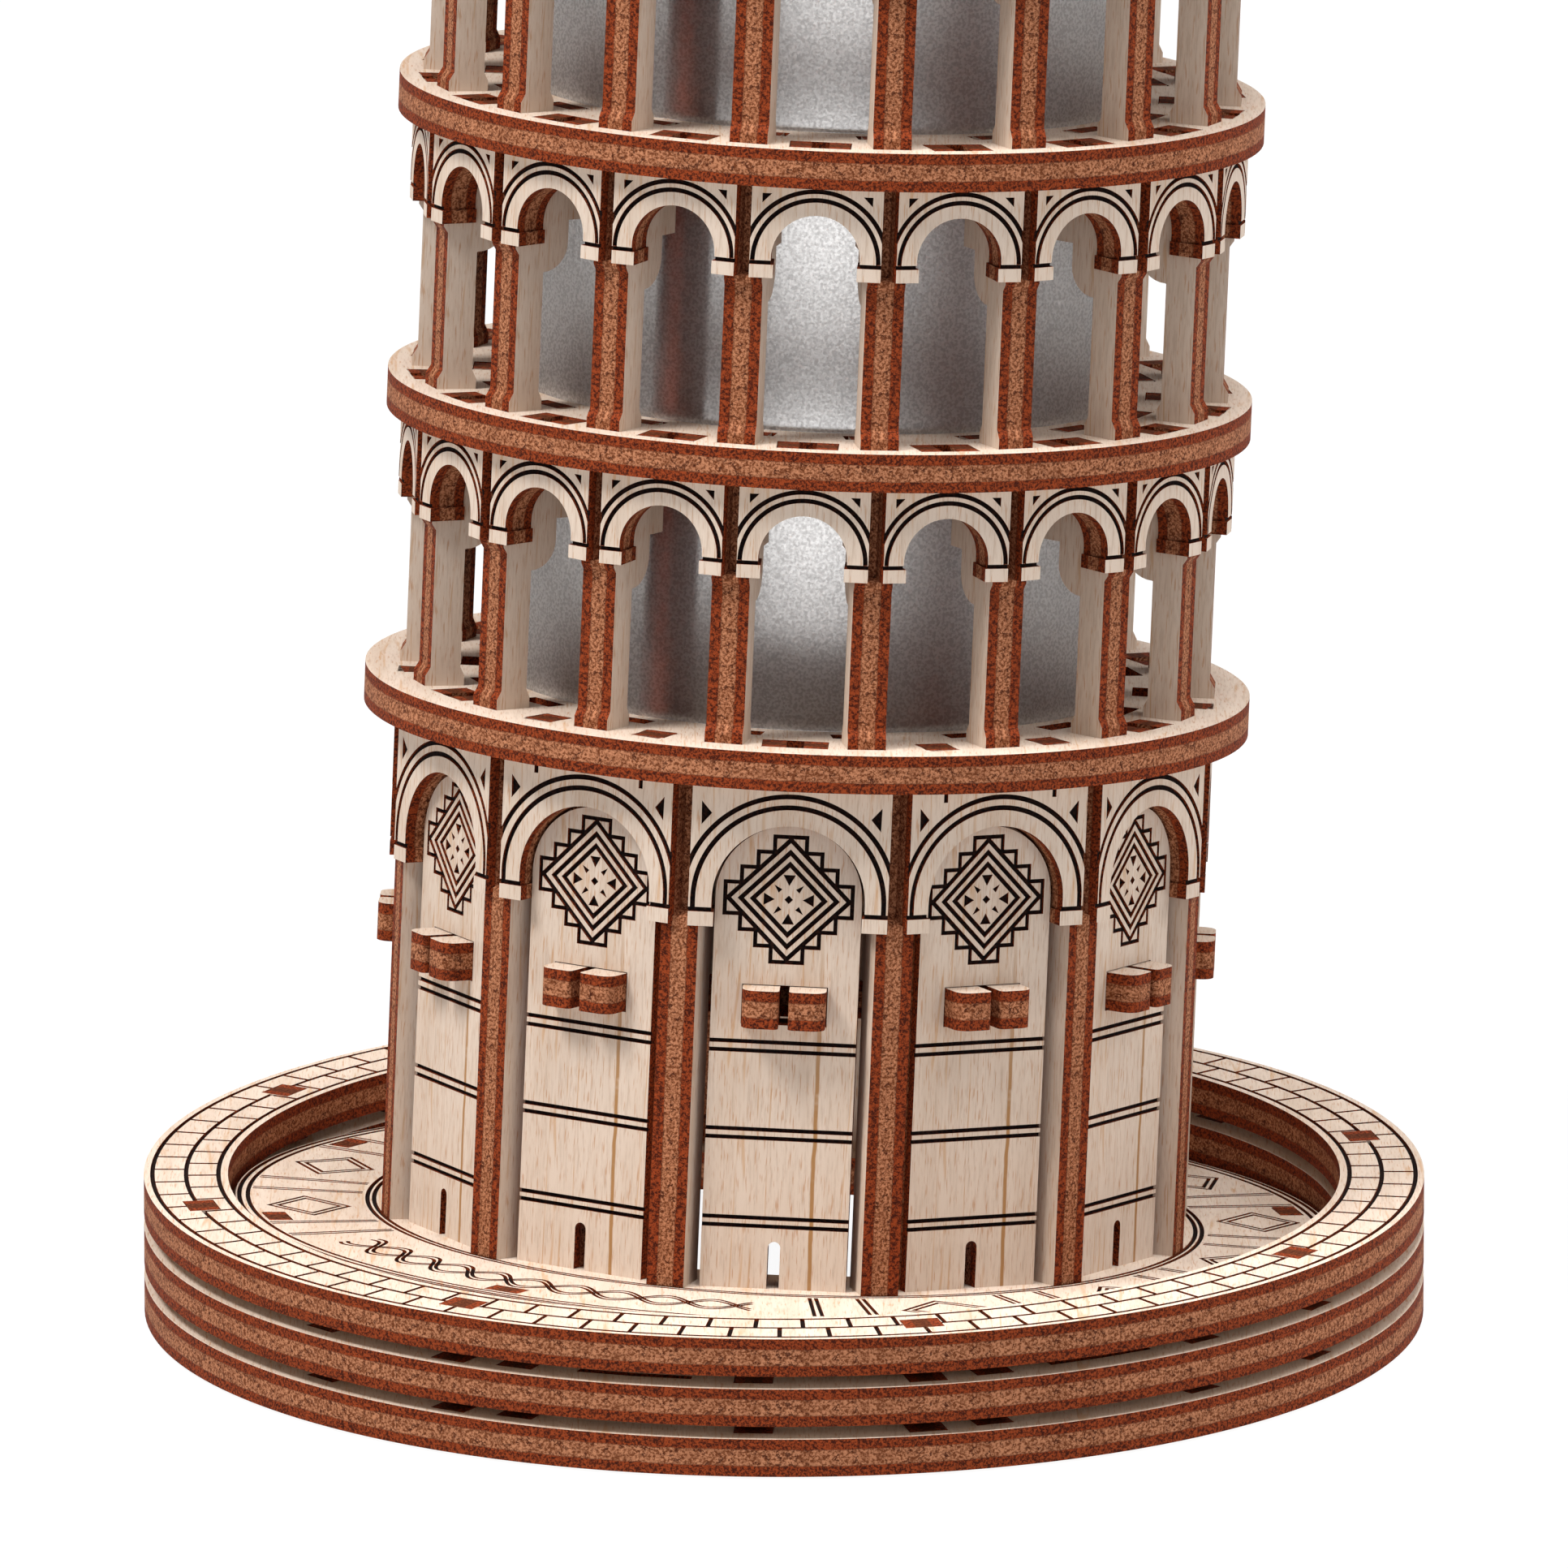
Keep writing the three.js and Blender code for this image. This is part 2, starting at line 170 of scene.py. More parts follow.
GALLERY_BAYS = 18
ARCH_FRONT = 43.2
ARCH_TENON = 3.1                # half the width of an arch panel's tenon
ARCH_SLOT = 2 * ARCH_TENON + 2 * SLOT_GAP
TENON_SPLIT = 0.9               # half the gap in a split tenon
COLUMN_FOOT_OUTER, COLUMN_OUTER, CAPITAL_OUTER, COLUMN_HEAD_OUTER = 42.75, 42.2, 42.68, 41.3
COLUMN_FOOT_INNER, COLUMN_INNER = 38.5, 38.95
FOOT_EDGE, FOOT_TOP = 1.1, 2.0  # a column's foot is straight, then slants to the shaft
CAPITAL_BOTTOM, CAPITAL_EDGE, CAPITAL_TOP, COLUMN_HEAD_BOTTOM = 16.5, 17.2, 17.6, 17.9
BRACKET_INNER, BRACKET_OUTER, BRACKET_LEVEL = 33.4, 35.85, 19.8
BRACKET_ROUND, BRACKET_ROUND_LEVEL, BRACKET_FOOT = 3.0, 17.5, 14.45
HEAD_TENON_INNER, HEAD_TENON_OUTER = 34.2, 36.3
HEAD_SLOT = 5.2                 # width of the slot for a column's head
FILM_THICKNESS = 0.4
FILM_FACETS = 120
POST_INNER, POST_OUTER = 26.0, 29.6

BELFRY_BAYS = 12
BELFRY_FRONT = 33.0
BELFRY_PIER_OUTER, BELFRY_PIER_INNER, BELFRY_PIER_HEAD = 33.8, 28.0, 31.8
BELFRY_CAP_BOTTOM = 10.6        # level at which a pier narrows towards its head
CROWN_GAP = 0.05                # between the cornice and the crown that lies on it

SHAFT_LAMP_WIDTH = 12.0
SHAFT_FOOT, SHAFT_MIDDLE = 4.0, 12.0            # the light in the shaft grows stronger above these
FLOOR_HALF = 40.0               # half the studio floor's side, in metres

# ---- outlines -----------------------------------------------------------------------------


def arc(middle, radius, start, end, steps):
    """Points on an arc, from one angle to another, counted in degrees from +X."""
    angles = [math.radians(start + (end - start) * step / steps) for step in range(steps + 1)]
    return [(middle[0] + radius * math.cos(a), middle[1] + radius * math.sin(a)) for a in angles]


def circle(radius, steps=192):
    return arc((0, 0), radius, 0, 360, steps)[:-1]


def polar(radius, azimuth):
    """A point on a flat ring."""
    turn = math.radians(azimuth)
    return (radius * math.sin(turn), -radius * math.cos(turn))


def turned(points, azimuth):
    """Points near the front of a ring, turned to an azimuth."""
    c, s = math.cos(math.radians(azimuth)), math.sin(math.radians(azimuth))
    return [(x * c - y * s, x * s + y * c) for x, y in points]


def rectangle(left, bottom, right, top):
    return [(left, bottom), (right, bottom), (right, top), (left, top)]


def slot(azimuth, inner, outer, width):
    """A rectangular hole in a flat ring."""
    return turned(rectangle(-width / 2, -outer, width / 2, -inner), azimuth)


def curved_slot(start, span, inner, outer):
    """A hole that follows the ring's curve in two straight stretches."""
    far = [polar(outer, start + span * part) for part in (0, 0.5, 1)]
    near = [polar(inner, start + span * part) for part in (1, 0.5, 0)]
    return far + near


def offset(points, distance, closed):
    """The points moved sideways by a distance, with mitred corners."""
    moved = []
    count = len(points)
    for index in range(count):
        here = Vector(points[index])
        before = Vector(points[index - 1]) if closed or index > 0 else None
        after = Vector(points[(index + 1) % count]) if closed or index < count - 1 else None
        into = (here - before).normalized() if before is not None else (after - here).normalized()
        out = (after - here).normalized() if after is not None else into
        normal_in, normal_out = Vector((-into.y, into.x)), Vector((-out.y, out.x))
        mitre = (normal_in + normal_out) / max(1 + normal_in.dot(normal_out), 0.3)
        moved.append(tuple(here + mitre * distance))
    return moved


def line(points, width=LINE):
    """An engraved open line, as a groove."""
    return [offset(points, width / 2, False) + offset(points, -width / 2, False)[::-1]]


def loop(points, width=LINE):
    """An engraved closed line, as a groove with an island."""
    sides = [offset(points, side * width / 2, True) for side in (-1, 1)]
    return sorted(sides, key=lambda side: -abs(area(side)))


def area(points):
    pairs = zip(points, points[1:] + points[:1])
    return sum(x0 * y1 - x1 * y0 for (x0, y0), (x1, y1) in pairs) / 2


def azimuths(count, first=0.0):
    return [first + 360 / count * index for index in range(count)]


# ---- flat parts ---------------------------------------------------------------------------

FACE, EDGE, CHAR, END = 0, 1, 2, 3      # material slots of a plywood part


def subdivision(outline, holes, grooves):
    """Triangles of a part's plane: (points, [(triangle, is it in a groove)])."""
    loops = [outline, *holes]
    groove_loops = []
    for groove in grooves:
        groove_loops.append(range(len(loops), len(loops) + len(groove)))
        loops.extend(groove)
    points, faces = [], []
    for ring in loops:
        ring = ring if area(ring) > 0 else ring[::-1]
        faces.append(list(range(len(points), len(points) + len(ring))))
        points.extend(Vector(point) for point in ring)
    points, _, cells, _, _, sources = delaunay_2d_cdt(points, [], faces, 0, 1e-5)
    hole_ids = set(range(1, len(holes) + 1))
    triangles = []
    for cell, source in zip(cells, sources):
        inside = set(source)
        if 0 not in inside or inside & hole_ids:
            continue
        grooved = any(ids[0] in inside and not inside & set(ids[1:]) for ids in groove_loops)
        triangles.append((tuple(cell), grooved))
    return points, triangles


def flat_part(name, outline, holes=(), grooves=(), materials=None, ends=True):
    """A closed mesh of a flat part with its holes cut and its lines engraved into the upper side.

    With ends, the walls that look along local +Y get the darker end grain.
    """
    points, triangles = subdivision(outline, holes, grooves)
    owner = {}
    for triangle, grooved in triangles:
        for start, end in zip(triangle, triangle[1:] + triangle[:1]):
            owner[(start, end)] = grooved
    upper = {False: PLY, True: PLY - GROOVE_DEPTH}
    levels = {}
    for triangle, grooved in triangles:
        for corner in triangle:
            levels.setdefault(corner, set()).add(upper[grooved])
    vertices, lookup, faces, slots = [], {}, [], []

    def vertex(corner, level):
        key = (corner, level)
        if key not in lookup:
            lookup[key] = len(vertices)
            vertices.append((points[corner].x * MM, points[corner].y * MM, level * MM))
        return lookup[key]

    def wall(start, end, low, high, material):
        """A wall that stands on an edge, with every level its ends share with their neighbours."""
        rising = [vertex(end, level) for level in sorted({low, high} | levels[end])
                  if low <= level <= high]
        falling = [vertex(start, level) for level in sorted({low, high} | levels[start], reverse=True)
                   if low <= level <= high]
        faces.append(falling[-1:] + rising + falling[:-1])
        slots.append(material)

    for triangle, grooved in triangles:
        faces.append([vertex(corner, upper[grooved]) for corner in triangle])
        slots.append(CHAR if grooved else FACE)
        faces.append([vertex(corner, 0.0) for corner in reversed(triangle)])
        slots.append(FACE)
        for start, end in zip(triangle, triangle[1:] + triangle[:1]):
            beyond = owner.get((end, start))
            if beyond is None:
                run = (points[end] - points[start]).normalized()
                wall(start, end, 0.0, upper[grooved], END if ends and run.x < -0.98 else EDGE)
            elif grooved and not beyond:
                wall(end, start, upper[True], upper[False], EDGE)
    mesh = bpy.data.meshes.new(name)
    mesh.from_pydata(vertices, [], faces)
    mesh.polygons.foreach_set("material_index", slots)
    for material in materials or PLYWOOD:
        mesh.materials.append(material)
    mesh.update()
    return mesh


# ---- standing the parts up ----------------------------------------------------------------


def spin(azimuth):
    return Matrix.Rotation(math.radians(azimuth), 4, "Z")


def lying(bottom, azimuth=0.0):
    return spin(azimuth) @ Matrix.Translation((0, 0, bottom * MM))


def facing(front, azimuth, level=0.0):
    """A part that looks outwards with its engraved side at a distance from the axis."""
    back = (front - PLY) * MM
    upright = Matrix(((1, 0, 0, 0), (0, 0, -1, -back), (0, 1, 0, level * MM), (0, 0, 0, 1)))
    return spin(azimuth) @ upright


def radial(azimuth, level=0.0):
    """A part that shows its edge: its local X is the radius and its local Y runs up."""
    upright = Matrix(((0, 0, -1, PLY / 2 * MM), (-1, 0, 0, 0), (0, 1, 0, level * MM), (0, 0, 0, 1)))
    return spin(azimuth) @ upright


def place(name, mesh, matrix, *nodes, material_slot="plywood"):
    """Adds a piece that stands for the given CAD nodes."""
    piece = bpy.data.objects.new(name, mesh)
    bpy.context.scene.collection.objects.link(piece)
    piece.matrix_world = matrix
    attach(piece, "root")
    if nodes:
        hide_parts(*nodes)
    return piece


# ---- materials ----------------------------------------------------------------------------


def node(tree, kind, inputs=(), **settings):
    """Adds a shader node. Each input is a number, a colour or another node's output."""
    made = tree.nodes.new(kind)
    for key, value in settings.items():
        setattr(made, key, value)
    for key, value in dict(inputs).items():
        if isinstance(value, bpy.types.NodeSocket):
            tree.links.new(value, made.inputs[key])
        else:
            made.inputs[key].default_value = value
    return made


def shader_tree(name):
    material = bpy.data.materials.new(name)
    material.use_nodes = True
    material.node_tree.nodes.clear()
    return material, material.node_tree


def finish_shader(tree, shader):
    output = tree.nodes.new("ShaderNodeOutputMaterial")
    tree.links.new(shader.outputs["BSDF"], output.inputs["Surface"])


def maths(tree, operation, first, second=0.0):
    return node(tree, "ShaderNodeMath", {0: first, 1: second}, operation=operation).outputs[0]


def millimetres(tree):
    """The part's own coordinates in millimetres: X and Y along the sheet, Z through it."""
    metres = node(tree, "ShaderNodeTexCoord").outputs["Object"]
    return stretched(tree, metres, (1 / MM, 1 / MM, 1 / MM))


def stretched(tree, where, factors):
    return node(tree, "ShaderNodeVectorMath", {0: where, 1: factors}, operation="MULTIPLY").outputs[0]


def noise(tree, where, density, detail=2.0, roughness=0.5):
    """Noise between 0 and 1, with a number of features per millimetre along each axis."""
    texture = node(tree, "ShaderNodeTexNoise", {
        "Vector": stretched(tree, where, density), "Scale": 1.0, "Detail": detail, "Roughness": roughness,
    })
    return texture.outputs["Fac"]


def ramp(tree, value, low, high):
    """0 below low, 1 above high and smooth between them."""
    mapped = node(tree, "ShaderNodeMapRange", {"Value": value, "From Min": low, "From Max": high},
                  interpolation_type="SMOOTHSTEP")
    return mapped.outputs["Result"]


def blend(tree, factor, first, second):
    mixed = node(tree, "ShaderNodeMix", {"Factor": factor}, data_type="RGBA")
    for socket, value in ((mixed.inputs[6], first), (mixed.inputs[7], second)):
        if isinstance(value, bpy.types.NodeSocket):
            tree.links.new(value, socket)
        else:
            socket.default_value = (*value, 1)
    return mixed.outputs[2]


def tinted(tree, colour, mask, strength, tint):
    """The colour, mixed with a tint where the mask is above 0."""
    return blend(tree, maths(tree, "MULTIPLY", mask, strength), colour, tint)


def winding_lines(tree, where, density, detail, roughness, far, near):
    """1 on the thin winding lines where noise crosses its middle value, 0 beside them."""
    away = maths(tree, "SUBTRACT", noise(tree, where, density, detail, roughness), 0.5)
    return ramp(tree, maths(tree, "ABSOLUTE", away), far, near)


def bumped(tree, height, distance, strength):
    inputs = {"Height": height, "Distance": distance, "Strength": strength}
    return node(tree, "ShaderNodeBump", inputs).outputs[0]


WOOD_PALE = (0.688, 0.564, 0.466)
WOOD_WARM = (0.612, 0.480, 0.378)
WOOD_FIBRE = (0.450, 0.315, 0.225)
WOOD_DASH = (0.500, 0.280, 0.160)
WOOD_STREAK = (0.520, 0.280, 0.120)
WOOD_VEIN = (0.370, 0.180, 0.055)
PLY_RED = (0.285, 0.050, 0.013)
PLY_DARK = (0.048, 0.009, 0.004)
CORE_PALE = (0.495, 0.208, 0.106)
CORE_BROWN = (0.145, 0.040, 0.014)
POST_PALE = (0.600, 0.120, 0.045)
POST_RED = (0.300, 0.045, 0.016)
END_BROWN = (0.050, 0.012, 0.005)
GLUE = (0.100, 0.028, 0.013)
SOOT = (0.005, 0.003, 0.003)
SOOT_BROWN = (0.030, 0.010, 0.006)
FILM_GREY = (0.580, 0.570, 0.565)
FILM_CLEAR = (0.990, 0.985, 0.980)
VEIN_WANDER = 0.35              # how far a vein strays to either side, in millimetres


def face_material(name, vein_at=None):
    """Pale veneer with fine fibres along local Y, thin warm streaks, and an optional strong vein."""
    material, tree = shader_tree(name)
    where = millimetres(tree)
    broad = noise(tree, where, (0.35, 0.03, 0.35), 3)
    fibres = noise(tree, where, (4.2, 0.30, 4.2), 3, 0.65)
    dashes = noise(tree, where, (5.2, 0.42, 5.2), 2)
    broken = noise(tree, where, (1.2, 0.16, 1.2), 2)
    colour = blend(tree, ramp(tree, broad, 0.35, 0.75), WOOD_PALE, WOOD_WARM)
    colour = tinted(tree, colour, ramp(tree, fibres, 0.46, 0.76), 0.60, WOOD_FIBRE)
    colour = tinted(tree, colour, ramp(tree, dashes, 0.57, 0.70), 0.78, WOOD_DASH)
    streaks = winding_lines(tree, where, (0.42, 0.018, 0.42), 1, 0.5, 0.020, 0.006)
    streaks = maths(tree, "MULTIPLY", streaks, ramp(tree, broken, 0.42, 0.62))
    colour = tinted(tree, colour, streaks, 0.55, WOOD_STREAK)
    if vein_at is not None:
        colour = tinted(tree, colour, vein_mask(tree, where, vein_at), 0.95, WOOD_VEIN)
    shader = node(tree, "ShaderNodeBsdfPrincipled", {
        "Base Color": colour, "Roughness": 0.62, "Specular IOR Level": 0.3,
        "Normal": bumped(tree, fibres, 0.00003, 0.5),
    })
    finish_shader(tree, shader)
    return material


def vein_mask(tree, where, vein_at):
    """1 on a line that wanders up the panel, thins out here and there and fades above the imposts."""
    split = node(tree, "ShaderNodeSeparateXYZ", {0: where})
    wander = maths(tree, "MULTIPLY", noise(tree, where, (0.0, 0.12, 0.0), 3), 2 * VEIN_WANDER)
    across = maths(tree, "ADD", split.outputs[0], wander)
    across = maths(tree, "SUBTRACT", across, vein_at + VEIN_WANDER)
    near = ramp(tree, maths(tree, "ABSOLUTE", across), 0.29, 0.13)
    kept = ramp(tree, noise(tree, where, (0.2, 0.3, 0.2), 3), 0.20, 0.42)
    kept = maths(tree, "MULTIPLY", kept, ramp(tree, split.outputs[1], 48, 20))
    return maths(tree, "MULTIPLY", near, kept)


def edge_material(name, core_pale, core_brown):
    """The burnt edge of three plies: dark, light, dark through the thickness."""
    material, tree = shader_tree(name)
    where = millimetres(tree)
    height = node(tree, "ShaderNodeSeparateXYZ", {0: where}).outputs[2]
    wave = maths(tree, "SUBTRACT", noise(tree, where, (0.5, 0.5, 0.0), 2), 0.5)
    height = maths(tree, "ADD", height, maths(tree, "MULTIPLY", wave, 0.25))
    from_middle = maths(tree, "ABSOLUTE", maths(tree, "SUBTRACT", height, PLY / 2))
    outer_ply = ramp(tree, from_middle, 0.84, 0.94)
    glue_line = maths(tree, "MULTIPLY", ramp(tree, from_middle, 0.74, 0.88),
                      ramp(tree, from_middle, 1.08, 0.94))
    speckle = noise(tree, where, (3.4, 3.4, 3.4), 2, 0.8)
    grains = noise(tree, where, (3.2, 3.2, 3.6), 2, 0.75)
    patches = noise(tree, where, (0.55, 0.55, 0.9), 2)
    marks = winding_lines(tree, where, (1.5, 1.5, 1.5), 2, 0.6, 0.055, 0.022)
    marks = maths(tree, "MULTIPLY", marks, ramp(tree, noise(tree, where, (1.3, 1.3, 1.3), 1), 0.50, 0.62))
    ply = blend(tree, ramp(tree, speckle, 0.38, 0.62), PLY_RED, PLY_DARK)
    core = blend(tree, ramp(tree, grains, 0.38, 0.62), core_brown, core_pale)
    core = tinted(tree, core, ramp(tree, patches, 0.45, 0.75), 0.35, core_brown)
    core = tinted(tree, core, marks, 0.85, PLY_DARK)
    core = tinted(tree, core, glue_line, 0.6, GLUE)
    colour = blend(tree, outer_ply, core, ply)
    shader = node(tree, "ShaderNodeBsdfPrincipled", {
        "Base Color": colour, "Roughness": 0.75, "Specular IOR Level": 0.08,
        "Normal": bumped(tree, grains, 0.00006, 0.6),
    })
    finish_shader(tree, shader)
    return material


def char_material():
    """The burnt floor of an engraved line."""
    material, tree = shader_tree("laser_char")
    where = millimetres(tree)
    soot = noise(tree, where, (3.0, 3.0, 3.0), 2)
    colour = blend(tree, ramp(tree, soot, 0.4, 0.75), SOOT, SOOT_BROWN)
    shader = node(tree, "ShaderNodeBsdfPrincipled",
                  {"Base Color": colour, "Roughness": 0.9, "Specular IOR Level": 0.1})
    finish_shader(tree, shader)
    return material


def film_material():
    """Frosted translucent film with a fine grain."""
    material, tree = shader_tree("frosted_film")
    where = millimetres(tree)
    grain = noise(tree, where, (3.2, 3.2, 3.2), 1)
    tint = blend(tree, ramp(tree, grain, 0.38, 0.62), FILM_GREY, FILM_CLEAR)
    shader = node(tree, "ShaderNodeBsdfPrincipled", {
        "Base Color": tint, "Roughness": 0.42, "IOR": 1.24, "Transmission Weight": 0.93,
        "Normal": bumped(tree, grain, 0.00004, 0.4),
    })
    finish_shader(tree, shader)
    return material


def floor_material():
    """A white light table: it glows a little, so shadows on it stay faint."""
    material, tree = shader_tree("studio_floor")
    shader = node(tree, "ShaderNodeBsdfPrincipled", {
        "Base Color": (0.06, 0.06, 0.06, 1), "Roughness": 0.9, "Specular IOR Level": 0.05,
        "Emission Color": (1, 1, 1, 1), "Emission Strength": 0.93,
    })
    finish_shader(tree, shader)
    return material


BURNT = (edge_material("plywood_edge", CORE_PALE, CORE_BROWN), char_material(),
         edge_material("plywood_end", CORE_BROWN, END_BROWN))
PLYWOOD = (face_material("plywood_face"), *BURNT)
WALL_PLYWOOD = (face_material("wall_panel_face", WALL_VEIN), *BURNT)
POST_WOOD = (BURNT[0], edge_material("post_edge", POST_PALE, POST_RED), *BURNT[1:])
FILM = film_material()

# ---- base ---------------------------------------------------------------------------------


def build_base_rings():
    """Three flat rings, the pegs through all of them and the spacers in the two lower ones."""
    peg_azimuths = azimuths(PEGS, PEG_AZIMUTH)
    spacer_azimuths = azimuths(PEGS, SPACER_AZIMUTH)
    for azimuth in EXTRA_SPACERS:
        spacer_azimuths += [azimuth, azimuth + 180]
    width = PLY + SLOT_GAP
    lower_slots = [slot(azimuth, PEG_INNER, PEG_FOOT_OUTER, width) for azimuth in peg_azimuths]
    lower_slots += [slot(azimuth, SPACER_INNER, SPACER_OUTER, width) for azimuth in spacer_azimuths]
    long_slots = [curved_slot(start, LONG_SLOT_SPAN, LONG_SLOT_INNER, LONG_SLOT_OUTER)
                  for start in azimuths(LONG_SLOTS, LONG_SLOT_START)]
    top_slots = [slot(azimuth, PEG_INNER, PEG_OUTER, width) for azimuth in peg_azimuths]
    outline, opening = circle(RING_OUTER), circle(RING_INNER)
    bottom = flat_part("base_ring_bottom", outline, [opening, *lower_slots], ends=False)
    middle = flat_part("base_ring_middle", outline, [opening, *lower_slots, *long_slots], ends=False)
    top = flat_part("base_ring_top", outline, [opening, *top_slots], brick_grooves(), ends=False)
    place("ring_bottom", bottom, lying(0), "base_ring_bottom")
    place("ring_middle", middle, lying(MIDDLE_RING_BOTTOM), "base_ring_middle")
    place("ring_top", top, lying(TOP_RING_BOTTOM), "base_ring_top")

    lower_rings = [(0, PLY), (MIDDLE_RING_BOTTOM, MIDDLE_RING_BOTTOM + PLY)]
    top_ring = [(TOP_RING_BOTTOM, TOP_RING_BOTTOM + PLY)]
    peg_edge = teeth(PEG_FOOT_OUTER, lower_rings) + teeth(PEG_OUTER, top_ring)
    peg_back = PEG_INNER + SLOT_GAP
    peg = flat_part("ring_peg", [(peg_back, 0), *peg_edge, (peg_back, TOP_RING_BOTTOM + PLY)])
    for number, azimuth in enumerate(peg_azimuths, 1):
        place(f"peg_{number}", peg, radial(azimuth), f"ring_peg_{number}")
    spacer_edge = teeth(SPACER_OUTER, lower_rings)[:-1]
    spacer_back = SPACER_INNER + SLOT_GAP
    spacer_top = MIDDLE_RING_BOTTOM + PLY
    spacer = flat_part("ring_spacer", [(spacer_back, 0), *spacer_edge, (spacer_back, spacer_top)])
    for number, azimuth in enumerate(spacer_azimuths, 1):
        place(f"ring_spacer_{number:02d}", spacer, radial(azimuth))


def brick_grooves():
    """Three circles with the joints of two rows of bricks between them."""
    grooves = [loop(circle(radius)) for radius in RING_CIRCLES]
    for row, first in enumerate(BRICK_STARTS):
        for azimuth in azimuths(BRICKS, first):
            grooves.append(line([polar(RING_CIRCLES[row], azimuth), polar(RING_CIRCLES[row + 1], azimuth)]))
    return grooves


def teeth(radius, levels):
    """The outer edge of a peg: a tooth in each ring, and a neck before and after each tooth.

    A tooth in the ring on the table starts the peg, so it has no neck before it.
    """
    tip = radius - SLOT_GAP
    edge = []
    for low, high in levels:
        edge += [(PEG_NECK, low), (tip, low), (tip, high), (PEG_NECK, high)]
    return edge if levels[0][0] > 0 else edge[1:]


def diamond(radius_half, tangent_half):
    """A lozenge at the front of the plate, given half its size along the radius and across it."""
    middle = -LOZENGE_RADIUS
    return [(0, middle - radius_half), (tangent_half, middle), (0, middle + radius_half),
            (-tangent_half, middle)]


def braid_grooves():
    """A plaited band of two double strands between two azimuths."""
    grooves = []
    for phase in (0, 180):
        for shift in (-BRAID_STRAND, BRAID_STRAND):
            strand = []
            for step in range(BRAID_STEPS + 1):
                azimuth = BRAID_FROM + (BRAID_TO - BRAID_FROM) * step / BRAID_STEPS
                swing = BRAID_SWING * math.sin(math.radians(azimuth * 360 / BRAID_WAVE + phase))
                strand.append(polar(LOZENGE_RADIUS + shift + swing, azimuth))
            grooves.append(line(strand, THIN_LINE))
    return grooves


def meets_braid(azimuth, before, after):
    """Is an azimuth on the braid, or fewer degrees than these before or after it?"""
    signed = (azimuth + 180) % 360 - 180
    return BRAID_FROM - before < signed < BRAID_TO + after


def plate_grooves():
    """Circles, double lozenges with short lines between them, and the braid in one stretch."""
    grooves = [loop(circle(radius)) for radius in PLATE_CIRCLES]
    for azimuth in azimuths(LOZENGES, LOZENGE_START):
        if meets_braid(azimuth, 6, 0):
            continue
        for halves in LOZENGE_HALVES:
            grooves.append(loop(turned(diamond(*halves), azimuth), THIN_LINE))
    for middle in azimuths(LOZENGES, LOZENGE_START + 180 / LOZENGES):
        for azimuth in (middle + side for side in SPOKE_SIDES):
            if meets_braid(azimuth, 1, 1):
                continue
            grooves.append(line([polar(SPOKE_INNER, azimuth), polar(SPOKE_OUTER, azimuth)], THIN_LINE))
    return grooves + braid_grooves()


def tilted(radius, azimuth, level):
    """Radius and height, in the upright frame, of a point of the leaning tower."""
    x, y = polar(radius, azimuth)
    point = TOWER @ Vector((x * MM, y * MM, level * MM))
    return (math.hypot(point.x, point.y) / MM, point.z / MM)


def floor_leg_mesh(name, azimuth):
    """A leg that stands on the table, with a slanted top and a tenon in the leaning plate."""
    tenon_outer, tenon_inner = LEG_TENON_OUTER - SLOT_GAP, LEG_TENON_INNER + SLOT_GAP
    top = [(LEG_OUTER, PLATE_BOTTOM), (tenon_outer, PLATE_BOTTOM), (tenon_outer, PLATE_TOP),
           (tenon_inner, PLATE_TOP), (tenon_inner, PLATE_BOTTOM), (LEG_INNER, PLATE_BOTTOM)]
    slanted = [tilted(radius, azimuth, level) for radius, level in top]
    return flat_part(name, [(LEG_INNER, 0), (LEG_OUTER, 0), *slanted])


def build_floor_plate():
    """The leaning plate inside the rings, engraved all round, and its legs."""
    leg_azimuths = azimuths(PEGS, PEG_AZIMUTH)
    slots = [slot(azimuth, LEG_TENON_INNER, LEG_TENON_OUTER, PLY + SLOT_GAP) for azimuth in leg_azimuths]
    holes = [circle(PLATE_INNER), *slots]
    plate = flat_part("floor_plate", circle(PLATE_OUTER), holes, plate_grooves(), ends=False)
    place("plate", plate, TOWER @ lying(PLATE_BOTTOM), "floor_plate")
    for number, azimuth in enumerate(leg_azimuths, 1):
        leg = floor_leg_mesh(f"floor_leg_{number}", azimuth)
        place(f"leg_{number}", leg, radial(azimuth), f"floor_leg_{number}")


# ---- arch panels --------------------------------------------------------------------------


class Arch(NamedTuple):
    """The sizes of an arch panel: distances sideways from its middle, and levels."""

    half: float                 # half the panel's width
    foot: float                 # level of its feet
    foot_inner: float
    ledge: float                # level of the small step above the feet
    opening: float              # radius of the opening
    spring: float               # level of the opening's middle
    top: float
    tenon_top: float
    arcs: tuple                 # radii of the engraved arcs
    arcs_level: float           # level of their middle
    arc_steps: int
    arc_line: float             # width of the arcs' lines
    foot_line: float            # level of the line across the feet
    foot_line_inner: float
    foot_line_width: float
    corner: list                # the engraved triangle above the right foot


